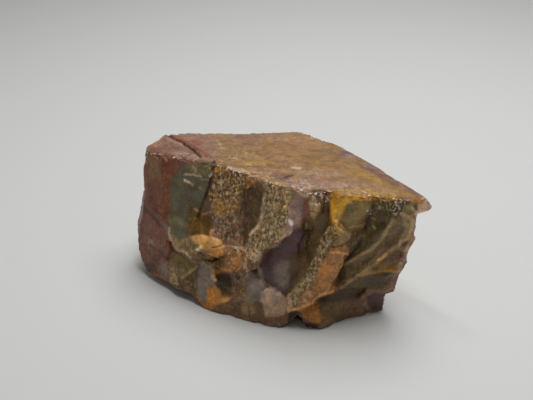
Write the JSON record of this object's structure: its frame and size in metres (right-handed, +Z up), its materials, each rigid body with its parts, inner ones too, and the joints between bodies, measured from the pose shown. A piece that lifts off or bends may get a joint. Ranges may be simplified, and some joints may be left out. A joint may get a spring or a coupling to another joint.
{
  "type": "rough petrified wood",
  "caption": "Rough broken block of petrified wood with a flat split top, scarred and ledged broken sides and a pointed end, lying on its broken base.",
  "frame": {"origin": "centre of the footprint, at the level of the broken base the block lies on", "axes": "+X along the block towards its pointed end, -Y towards its best broken face, +Z up through the flat split top"},
  "size_m": [0.1022, 0.0592, 0.0505],
  "materials": {
    "chalcedony": "broken chalcedony, brown, ochre, olive and purple, waxy on the smooth scars and sugary on the ledges"
  },
  "bodies": {
    "root": {"petrified_wood": "chalcedony"}
  },
  "joints": []
}
